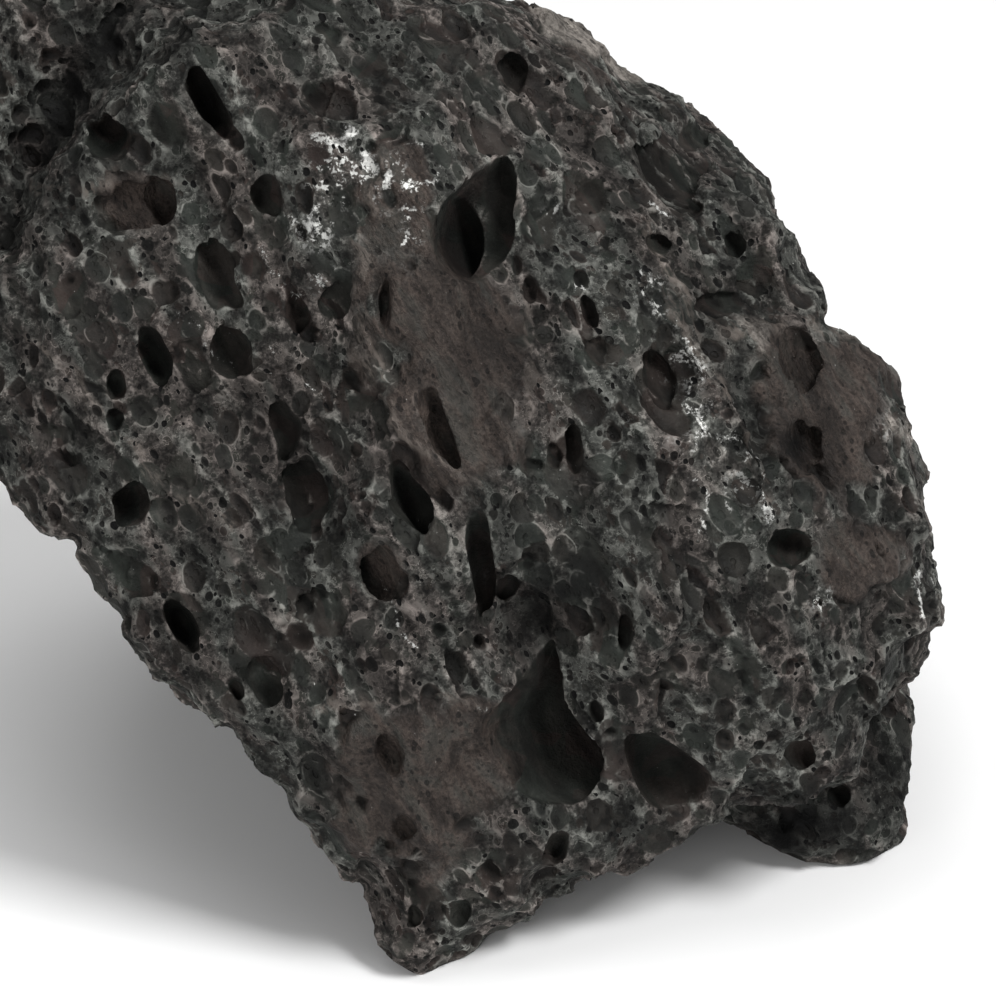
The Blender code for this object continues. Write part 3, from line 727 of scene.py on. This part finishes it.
def markZones(item, uncut):
    mesh = item.data
    world = readPoints(mesh)
    back = np.array(layoutToWorld().inverted())
    own = world @ back[:3, :3].T + back[:3, 3]
    points, normals, inner = nearestUncut(own, uncut)
    seen = onPlane(points)
    ragged = 0
    for wavelength, height in zones["ragged"]:
        ragged = ragged + height * waves(points, wavelength, zones["raggedSeed"])
    forward = points[:, 2]
    facing = normals[:, 2]
    aside = zones["asideRugged"] * smoothStep((zones["asideFrom"] - facing) / zones["asideGrows"])
    aside *= smoothStep((facing - zones["asideTo"]) / zones["asideGrows"])
    further = forward + zones["furtherBack"]
    marks = {name: zoneMask(name, seen, forward) for name in ("skin", "crust", "fine")}
    marks["rugged"] = np.maximum(zoneMask("rugged", seen, forward), aside)
    marks["pale"] = zoneMask("pale", seen, further)
    # painted shade, less painted light where the paler patches lie
    marks["paintedShade"] = zoneMask("paintedShade", seen, further) - zoneMask("paintedLight", seen, further)
    for name, mask in marks.items():
        setAttribute(mesh, name, mask * (1 + ragged))
    inFront = smoothStep(forward / zones["grows"])
    setAttribute(mesh, "thread", lineMask(zones["threads"], seen) * inFront)
    setAttribute(mesh, "lip", lineMask(rock["lips"], seen) * inFront)
    setAttribute(mesh, "inner", np.where(world[:, 2] > zones["footing"] * mm, inner, 0))
    turn = np.array(layoutToWorld().to_quaternion().to_matrix())
    setAttribute(mesh, "outward", normals @ turn.T, "FLOAT_VECTOR")
    setAttribute(mesh, "grain", grainPoints(points, bubbles["stretch"]), "FLOAT_VECTOR")
    setAttribute(mesh, "flow", grainPoints(own, bubbles["flow"]), "FLOAT_VECTOR")
    height = world[:, 2] / mm
    setAttribute(mesh, "footing", smoothStep((height - zones["bubblesStart"]) / zones["bubblesGrow"]))
    hidden = np.nonzero(points[:, 2] < build["hiddenBelow"])[0].tolist()
    item.vertex_groups.new(name="hidden").add(hidden, 1.0, "REPLACE")


def enabledSocket(sockets, name):
    return next(one for one in sockets if one.name == name and one.enabled)


class Nodes:
    # adds nodes to one tree: an input is a plain value or the output of another node
    def __init__(self, tree):
        self.tree = tree

    def socket(self, name, kind="NodeSocketFloat", direction="INPUT", value=None):
        made = self.tree.interface.new_socket(name=name, in_out=direction, socket_type=kind)
        if value is not None:
            made.default_value = value
        return made.identifier

    def add(self, kind, inputs=(), **settings):
        node = self.tree.nodes.new(kind)
        for key, value in settings.items():
            setattr(node, key, value)
        for key, value in dict(inputs).items():
            if isinstance(value, bpy.types.NodeSocket):
                self.tree.links.new(value, node.inputs[key])
            else:
                node.inputs[key].default_value = value
        return node

    def maths(self, operation, *values):
        return self.add("ShaderNodeMath", enumerate(values), operation=operation).outputs[0]

    def times(self, first, *others):
        for other in others:
            first = self.maths("MULTIPLY", first, other)
        return first

    def scaled(self, value, factor, base):
        return self.maths("MULTIPLY_ADD", value, factor, base)

    def most(self, first, second):
        return self.maths("MAXIMUM", first, second)

    def less(self, first, second):
        return self.maths("SUBTRACT", first, second)

    def ramp(self, value, low, high, newLow=0.0, newHigh=1.0, kind="SMOOTHSTEP"):
        inputs = enumerate((value, low, high, newLow, newHigh))
        return self.add("ShaderNodeMapRange", inputs, interpolation_type=kind, clamp=True).outputs[0]

    def layer(self, group, grain, values):
        kind = self.tree.bl_idname.replace("NodeTree", "NodeGroup")
        inputs = {name.capitalize(): value for name, value in values.items()}
        return self.add(kind, {"Grain": grain, **inputs}, node_tree=group).outputs

    def named(self, name, kind="FLOAT"):
        node = self.add("GeometryNodeInputNamedAttribute", {"Name": name}, data_type=kind)
        return enabledSocket(node.outputs, "Attribute")

    def store(self, mesh, name, value):
        inputs = {"Geometry": mesh, "Name": name}
        node = self.add("GeometryNodeStoreNamedAttribute", inputs, data_type="FLOAT", domain="POINT")
        self.tree.links.new(value, enabledSocket(node.inputs, "Value"))
        return node.outputs[0]

    def blur(self, value, steps):
        node = self.add("GeometryNodeBlurAttribute", {"Iterations": steps}, data_type="FLOAT_VECTOR")
        self.tree.links.new(value, enabledSocket(node.inputs, "Value"))
        return enabledSocket(node.outputs, "Value")

    def vectorMaths(self, operation, inputs, output="Vector"):
        return self.add("ShaderNodeVectorMath", inputs, operation=operation).outputs[output]

    def stored(self, name, output="Fac"):
        return self.add("ShaderNodeAttribute", attribute_name=name).outputs[output]

    def noise(self, vector, size, detail=3.0, roughness=0.6):
        inputs = {"Vector": vector, "Scale": 1 / size, "Detail": detail, "Roughness": roughness}
        return self.add("ShaderNodeTexNoise", inputs).outputs[0]

    def blend(self, factor, first, second, way="MIX"):
        inputs = {0: factor}
        for index, colour in ((6, first), (7, second)):
            inputs[index] = (*colour, 1.0) if isinstance(colour, tuple) else colour
        return self.add("ShaderNodeMix", inputs, data_type="RGBA", blend_type=way).outputs[2]


def bubbleLayer(treeKind):
    # round bubbles in 3D that the surface slices: the same field shapes the mesh and the material
    tree = bpy.data.node_groups.new("bubbleLayer", treeKind)
    net = Nodes(tree)
    net.socket("Grain", "NodeSocketVector")
    for name in ("Size", "Share", "Least", "Most", "Shallow", "Deep"):
        net.socket(name)
    for name in ("Depth", "Inside", "Rim", "Chance"):
        net.socket(name, direction="OUTPUT")
    start = net.add("NodeGroupInput").outputs
    end = net.add("NodeGroupOutput")
    scale = net.maths("DIVIDE", 1.0, start["Size"])
    inputs = {"Vector": start["Grain"], "Scale": scale, "Randomness": 1.0}
    cells = net.add("ShaderNodeTexVoronoi", inputs, voronoi_dimensions="3D", feature="F1")
    draw = net.add("ShaderNodeSeparateXYZ", {0: cells.outputs["Color"]}).outputs
    present = net.maths("LESS_THAN", draw[1], start["Share"])
    radius = net.scaled(draw[0], net.less(start["Most"], start["Least"]), start["Least"])
    away = cells.outputs["Distance"]
    cup = net.maths("SQRT", net.most(net.less(net.times(radius, radius), net.times(away, away)), 0.0))
    chance = net.times(draw[2], draw[2])
    flatten = net.scaled(chance, net.less(start["Deep"], start["Shallow"]), start["Shallow"])
    depth = net.times(net.times(cup, flatten), net.times(start["Size"], present))
    margin = net.less(radius, away)
    inside = net.times(net.ramp(margin, -0.01, 0.03), present)
    rim = net.times(net.ramp(net.maths("ABSOLUTE", margin), 0.0, 0.05, 1.0, 0.0), present)
    for name, value in (("Depth", depth), ("Inside", inside), ("Rim", rim), ("Chance", draw[2])):
        tree.links.new(value, end.inputs[name])
    return tree


def bubbleTree(stone):
    # presses the four layers of bubbles into a mesh, and marks where they are
    tree = bpy.data.node_groups.new("pressBubbles", "GeometryNodeTree")
    net = Nodes(tree)
    group = bubbleLayer("GeometryNodeTree")
    kinds = ("scoop", "coarse", "middle", "small")
    net.socket("Mesh", "NodeSocketGeometry")
    values = {}
    for kind in (*kinds, "crumble"):
        for name, value in bubbles[kind].items():
            values[net.socket(f"{kind} {name}", value=value)] = value
    net.socket("Mesh", "NodeSocketGeometry", "OUTPUT")
    start = net.add("NodeGroupInput").outputs
    end = net.add("NodeGroupOutput")
    grain = net.named("grain", "FLOAT_VECTOR")
    skin = net.ramp(net.named("skin"), 0.3, 0.6)
    fine = net.ramp(net.named("fine"), 0.2, 0.7)
    rugged = net.named("rugged")
    shallow = net.ramp(net.named("inner"), *bubbles["holeFade"], 1.0, 0.0)
    free = net.times(net.named("footing"), shallow)
    loss = {name: net.scaled(skin, -share, 1.0) for name, share in bubbles["skinLoss"].items()}
    gain = {name: net.scaled(rugged, share, 1.0) for name, share in bubbles["ruggedGain"].items()}
    made = {}
    for kind in kinds:
        made[kind] = net.layer(group, grain, {name: start[f"{kind} {name}"] for name in bubbles[kind]})

    coarse = net.times(made["coarse"]["Depth"], net.scaled(fine, -bubbles["fineLoss"], 1.0))
    larger = net.times(net.most(coarse, made["middle"]["Depth"]), loss["larger"])
    small = net.times(made["small"]["Depth"], net.scaled(skin, *bubbles["smallOnSkin"]))
    small = net.times(small, gain["small"])
    scoop = net.times(made["scoop"]["Depth"], loss["scoop"])
    depth = net.maths("ADD", net.maths("ADD", larger, small), scoop)
    depth = net.times(depth, free)

    scale = net.maths("DIVIDE", 1.0, start["crumble width"])
    inputs = {"Vector": grain, "Scale": scale, "Detail": start["crumble detail"], "Roughness": 0.6}
    lumps = net.less(net.add("ShaderNodeTexNoise", inputs).outputs[0], 0.5)
    lumps = net.times(lumps, net.times(start["crumble height"], free))
    lumps = net.times(lumps, loss["lumps"], gain["lumps"])
    inward = net.times(net.less(depth, lumps), -mm)
    outward = net.blur(net.named("outward", "FLOAT_VECTOR"), build["outwardSteps"])
    offset = net.vectorMaths("SCALE", {0: outward, 3: inward})
    mesh = net.add("GeometryNodeSetPosition", {"Geometry": start["Mesh"], "Offset": offset}).outputs[0]
    wide = net.times(made["coarse"]["Inside"], net.less(1.0, fine))
    tinted = net.times(made["coarse"]["Inside"], made["coarse"]["Chance"])
    for name, value in (("pressed", depth), ("wide", wide), ("wideTint", tinted)):
        mesh = net.store(mesh, name, value)

    # how far each point stands above its neighbours, in millimetres: edges are above 0, dips below
    place = net.add("GeometryNodeInputPosition").outputs[0]
    offset = net.vectorMaths("SUBTRACT", {0: place, 1: net.blur(place, build["blurSteps"])})
    normal = net.add("GeometryNodeInputNormal").outputs[0]
    above = net.vectorMaths("DOT_PRODUCT", {0: offset, 1: normal}, "Value")
    mesh = net.store(mesh, "ridge", net.maths("DIVIDE", above, mm))
    real = net.add("GeometryNodeRealizeInstances", {0: mesh}).outputs[0]
    done = net.add("GeometryNodeSetMaterial", {"Geometry": real, "Material": stone})
    tree.links.new(done.outputs[0], end.inputs[0])
    return tree, values


def pressBubbles(item, stone):
    tree, values = bubbleTree(stone)
    modifier = item.modifiers.new("bubbles", "NODES")
    modifier.node_group = tree
    for identifier, value in values.items():
        modifier[identifier] = value
    bakeModifiers(item)


def countTriangles(item):
    return sum(len(face.vertices) - 2 for face in item.data.polygons)


def thinMesh(item):
    # first the sides that are seldom seen, then all of it
    total = countTriangles(item)
    group = item.vertex_groups["hidden"].index
    hidden = sum(1 for vertex in item.data.vertices if vertex.groups and vertex.groups[0].group == group)
    share = hidden / len(item.data.vertices)
    first = item.modifiers.new("thinHidden", "DECIMATE")
    first.ratio = 1 - share + build["hiddenTriangles"] / total
    first.vertex_group = "hidden"
    bakeModifiers(item)
    second = item.modifiers.new("thin", "DECIMATE")
    second.ratio = build["triangles"] / countTriangles(item)
    second.use_collapse_triangulate = True
    bakeModifiers(item)


def cleanMesh(item):
    # thinning leaves a few slivers and pairs of triangles folded onto each other: those go
    mesh = bmesh.new()
    mesh.from_mesh(item.data)
    bmesh.ops.dissolve_degenerate(mesh, dist=build["shortest"] * mm, edges=mesh.edges)
    bmesh.ops.triangulate(mesh, faces=[face for face in mesh.faces if len(face.verts) > 3])
    while folded := [vertex for vertex in mesh.verts if len(vertex.link_faces) < 3]:
        bmesh.ops.delete(mesh, geom=folded, context="VERTS")
    openEdges = sum(1 for edge in mesh.edges if len(edge.link_faces) != 2)
    mesh.to_mesh(item.data)
    mesh.free()
    report(f"cleaned: {openEdges} open edges")


looks = {
    "stoneDark": (0.0075, 0.0075, 0.0070),
    "stoneLight": (0.070, 0.069, 0.065),
    "bowlGreen": (0.0165, 0.0185, 0.0162),
    "bowlBrown": (0.024, 0.0195, 0.0175),
    "wearAndHighlight": (0.172, 0.168, 0.159),
    "skinDark": (0.0240, 0.0182, 0.0155),
    "skinLight": (0.0640, 0.0490, 0.0415),
    "lip": (0.105, 0.090, 0.079),
    "greenTint": (0.965, 1.0, 0.965),
    "redTint": (1.10, 0.98, 0.95),
    "buffDark": (0.07, 0.062, 0.055),
    "buffLight": (0.22, 0.20, 0.18),
    "mineral": (0.52, 0.52, 0.50),
    "poreShade": (0.0018, 0.0018, 0.0018),
    # darkest and palest band, how dark the painted shade on deep hole walls is, and how strong the painted
    # shade and painted light patches are
    "bands": (0.5, 1.4),
    "deepShade": 0.57,
    "paintedShadeAndLight": 0.7,
    # how far above its neighbours a point is for pale wear with a painted highlight, and below them for
    # painted shade, in mm
    "wearAndHighlightRange": (0.04, 0.28),
    "dipShadeRange": (-0.05, -0.32),
    "specular": 0.15,
    "roughStone": 0.85,
    "smoothStone": 0.55,
    "tiny": {"size": 1.2, "share": 0.75, "least": 0.14, "most": 0.52, "shallow": 0.4, "deep": 1.2},
    "bumpDepth": 0.001,
    # in millimetres
    "noiseSizes": {"grains": 0.75, "clumps": 3.2, "drifts": 5.0, "hues": 9.0, "mottle": 1.8, "specks": 1.1},
}


def lavaStone():
    sizes = looks["noiseSizes"]
    material = bpy.data.materials.new("dark_lava")
    material.use_nodes = True
    tree = material.node_tree
    tree.nodes.clear()
    net = Nodes(tree)
    times, ramp, most, less, scaled = net.times, net.ramp, net.most, net.less, net.scaled
    blend, noise, stored = net.blend, net.noise, net.stored
    layer = bubbleLayer("ShaderNodeTree")
    grain = stored("grain", "Vector")
    flow = stored("flow", "Vector")
    place = net.vectorMaths("SCALE", {0: net.add("ShaderNodeTexCoord").outputs["Object"], 3: 1 / mm})
    skin = ramp(stored("skin"), 0.3, 0.55)
    walls = ramp(stored("inner"), 0.3, 0.9)
    ridge = stored("ridge")
    bare = less(1.0, skin)
    rough = less(1.0, most(skin, walls))

    middle = net.layer(layer, grain, bubbles["middle"])
    small = net.layer(layer, grain, bubbles["small"])
    tiny = net.layer(layer, grain, looks["tiny"])

    # granular stone between the bubbles, in paler and darker clumps
    grains = noise(place, sizes["grains"], 3.0, 0.7)
    clumps = noise(place, sizes["clumps"])
    drifts = noise(flow, sizes["drifts"])
    mixed = scaled(less(grains, 0.5), 0.6, clumps)
    colour = blend(ramp(mixed, 0.30, 0.72), looks["stoneDark"], looks["stoneLight"])

    # smooth bowls, each with a tint of its own, and painted shade: the deepest small ones black
    wide = ramp(stored("wide"), 0.35, 0.65)
    large = times(most(wide, middle["Inside"]), rough)
    chance = most(stored("wideTint"), middle["Chance"])
    bowl = blend(ramp(chance, 0.3, 0.9), looks["bowlGreen"], looks["bowlBrown"])
    little = times(most(small["Inside"], tiny["Inside"]), rough)
    colour = blend(times(little, 0.8), colour, bowl)
    colour = blend(times(most(large, walls), 0.88), colour, bowl)
    smallPoreShade = times(small["Inside"], ramp(small["Chance"], 0.6, 0.95))
    tinyPoreShade = times(tiny["Inside"], ramp(tiny["Chance"], 0.45, 0.9))
    poreShade = most(times(smallPoreShade, 0.8), tinyPoreShade)
    between = times(rough, scaled(large, -0.85, 1.0))
    poreShade = times(poreShade, between)

    # pale broken rims, edges worn pale with a painted highlight, threads between the smallest cells, and
    # painted shade in dips
    broken = ramp(clumps, 0.44, 0.60)
    edges = most(middle["Rim"], times(small["Rim"], between, 0.6))
    edges = times(edges, broken, scaled(rough, 0.75, 0.05))
    wearAndHighlight = ramp(ridge, *looks["wearAndHighlightRange"])
    wearAndHighlight = times(wearAndHighlight, ramp(mixed, 0.40, 0.66, 0.1, 1.0))
    wearAndHighlight = times(wearAndHighlight, scaled(most(skin, large), -0.6, 1.0))
    web = net.maths("ABSOLUTE", less(clumps, 0.54))
    web = times(ramp(web, 0.0, 0.012, 1.0, 0.0), between, 0.6)
    bright = most(most(edges, wearAndHighlight), web)
    colour = blend(bright, colour, looks["wearAndHighlight"])
    dipShade = ramp(ridge, *looks["dipShadeRange"])
    colour = blend(times(dipShade, 0.75), colour, looks["stoneDark"])

    # greener and redder streaks along the flow
    hue = ramp(noise(flow, sizes["hues"], 2.0), 0.42, 0.62)
    tint = blend(hue, looks["greenTint"], looks["redTint"])
    colour = blend(bare, colour, tint, "MULTIPLY")

    # brown skin where the melt closed over, with darker smoky parts, painted shade along its folds, and
    # paler lips
    mottle = noise(flow, sizes["mottle"], 4.0, 0.65)
    streaks = scaled(mottle, 0.5, times(grains, 0.5))
    skinColour = blend(ramp(streaks, 0.40, 0.61), looks["skinDark"], looks["skinLight"])
    skinColour = blend(times(small["Inside"], 0.5), skinColour, looks["bowlBrown"])
    skinColour = blend(times(small["Rim"], broken, 0.3), skinColour, looks["lip"])
    smoke = ramp(drifts, 0.50, 0.64, 0.0, 0.6)
    skinColour = blend(smoke, skinColour, looks["bowlGreen"])
    foldShade = net.maths("ABSOLUTE", less(mottle, 0.46))
    foldShade = ramp(foldShade, 0.0, 0.014, 0.55, 0.0)
    skinColour = blend(foldShade, skinColour, looks["skinDark"])
    colour = blend(times(skin, 0.88), colour, skinColour)
    lip = times(ramp(stored("lip"), 0.3, 1.0), ramp(mottle, 0.42, 0.60, 0.0, 0.7))
    colour = blend(lip, colour, looks["lip"])

    # buff shoulder, partly painted light where it faces the lamp
    buffAndPaintedLight = ramp(stored("pale"), 0.35, 0.6)
    buff = blend(ramp(streaks, 0.36, 0.6), looks["buffDark"], looks["buffLight"])
    colour = blend(times(buffAndPaintedLight, 0.9), colour, buff)

    # white mineral in specks and threads
    specks = ramp(noise(place, sizes["specks"], 2.0, 0.7), 0.51, 0.58)
    white = times(specks, ramp(clumps, 0.49, 0.58), ramp(stored("crust"), 0.25, 0.95))
    thread = scaled(less(grains, 0.5), 1.6, stored("thread"))
    thread = times(ramp(thread, 0.5, 0.8), ramp(clumps, 0.38, 0.54, 0.1, 1.0))
    white = most(white, thread)
    stray = ramp(grains, 0.72, 0.77)
    white = most(white, times(stray, 0.7))
    colour = blend(white, colour, looks["mineral"])

    # painted shade: black in the deepest pores
    skinPoreShade = times(tinyPoreShade, skin, 0.7)
    colour = blend(most(skinPoreShade, poreShade), colour, looks["poreShade"])

    # bands of paler and darker stone, painted shade and painted light from the patches, and painted shade on
    # bubble floors and deep hole walls
    pressed = stored("pressed")
    sunk = ramp(pressed, 0.4, 2.5, 1.0, 0.7)
    sunk = times(sunk, ramp(stored("inner"), 1.0, 7.0, 1.0, looks["deepShade"]))
    bands = ramp(drifts, 0.34, 0.66, *looks["bands"])
    paintedShadeAndLight = scaled(stored("paintedShade"), -looks["paintedShadeAndLight"], 1.0)
    tone = times(sunk, bands, paintedShadeAndLight)
    shade = net.add("ShaderNodeCombineColor", {0: tone, 1: tone, 2: tone}).outputs[0]
    colour = blend(1.0, colour, shade, "MULTIPLY")

    # heights in millimetres
    dents = times(tiny["Depth"], scaled(rough, 0.8, 0.2))
    gritty = ramp(pressed, 0.1, 0.6, 0.7, 0.25)
    height = scaled(grains, gritty, times(mottle, skin, 1.3))
    height = less(height, dents)
    bump = net.add("ShaderNodeBump", {"Height": height, "Distance": looks["bumpDepth"]})

    shader = net.add("ShaderNodeBsdfPrincipled", {"Base Color": colour, "Normal": bump.outputs[0]})
    shader.inputs["Specular IOR Level"].default_value = looks["specular"]
    sheen = most(times(large, 0.7), times(skin, 0.9))
    gloss = ramp(sheen, 0.0, 1.0, looks["roughStone"], looks["smoothStone"], "LINEAR")
    tree.links.new(gloss, shader.inputs["Roughness"])
    end = net.add("ShaderNodeOutputMaterial")
    tree.links.new(shader.outputs[0], end.inputs["Surface"])
    return material


studio = {
    "sensor": 36.0,
    # the picture is this wide at the middle of the rock, and its middle sits this far off the axis
    "frameWidth": 199.2,
    "offset": (5.6, -3.6),
    "clip": (0.05, 20.0),
    "floorSize": 12.0,
    "floorColour": (0.90, 0.90, 0.90),
    "floorRoughness": 0.9,
    "world": 0.35,
    # place in metres, width and height, power
    "lights": {
        "keyLight": ((0.80, -0.45, 1.30), (0.5, 0.5), 20.0),
        "topLight": ((-0.3, 0.10, 1.5), (0.8, 0.8), 7.0),
        "fillLight": ((-0.5, -1.2, 0.4), (1.0, 1.0), 6.0),
    },
    "aim": (0.0, 0.0, 0.08),
}


def addLights():
    world = bpy.data.worlds.new("studio")
    world.use_nodes = True
    background = world.node_tree.nodes["Background"].inputs
    background["Color"].default_value = (1, 1, 1, 1)
    background["Strength"].default_value = studio["world"]
    bpy.context.scene.world = world
    for name, (place, size, power) in studio["lights"].items():
        data = bpy.data.lights.new(name, "AREA")
        data.shape = "RECTANGLE"
        data.size, data.size_y = size
        data.energy = power
        lamp = bpy.data.objects.new(name, data)
        lamp.location = place
        lamp.rotation_euler = (Vector(studio["aim"]) - Vector(place)).to_track_quat("-Z", "Y").to_euler()
        bpy.context.scene.collection.objects.link(lamp)


def addFloor():
    shape = bmesh.new()
    bmesh.ops.create_grid(shape, x_segments=1, y_segments=1, size=studio["floorSize"] / 2)
    mesh = meshFrom(shape, "floor")
    pale = bpy.data.materials.new("pale_floor")
    pale.use_nodes = True
    shader = pale.node_tree.nodes["Principled BSDF"]
    shader.inputs["Base Color"].default_value = (*studio["floorColour"], 1)
    shader.inputs["Roughness"].default_value = studio["floorRoughness"]
    mesh.materials.append(pale)
    placeMesh(mesh)


def addCamera():
    data = bpy.data.cameras.new("camera")
    data.sensor_width = studio["sensor"]
    data.lens = studio["sensor"] / studio["frameWidth"] * layout["eyeDistance"]
    data.shift_x = studio["offset"][0] / studio["frameWidth"]
    data.shift_y = studio["offset"][1] / studio["frameWidth"]
    data.clip_start, data.clip_end = studio["clip"]
    camera = bpy.data.objects.new("camera", data)
    toWorld = layoutToWorld()
    place = toWorld @ Vector((0, 0, layout["eyeDistance"]))
    camera.matrix_world = Matrix.LocRotScale(place, toWorld.to_quaternion(), None)
    bpy.context.scene.collection.objects.link(camera)
    bpy.context.scene.camera = camera


bpy.context.scene.view_settings.view_transform = "Standard"
stone = lavaStone()
body, uncut = carvedBody()
report(f"carved: {len(body.data.polygons)} faces")
evenMesh(body)
report(f"evened: {len(body.data.polygons)} faces")
markZones(body, uncut)
pressBubbles(body, stone)
report("bubbles pressed")
thinMesh(body)
cleanMesh(body)
report(f"thinned: {len(body.data.polygons)} triangles")
body.data.shade_smooth()
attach(body, "root")
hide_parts("lava_rock")
addFloor()
addLights()
addCamera()

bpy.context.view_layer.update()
report("done")
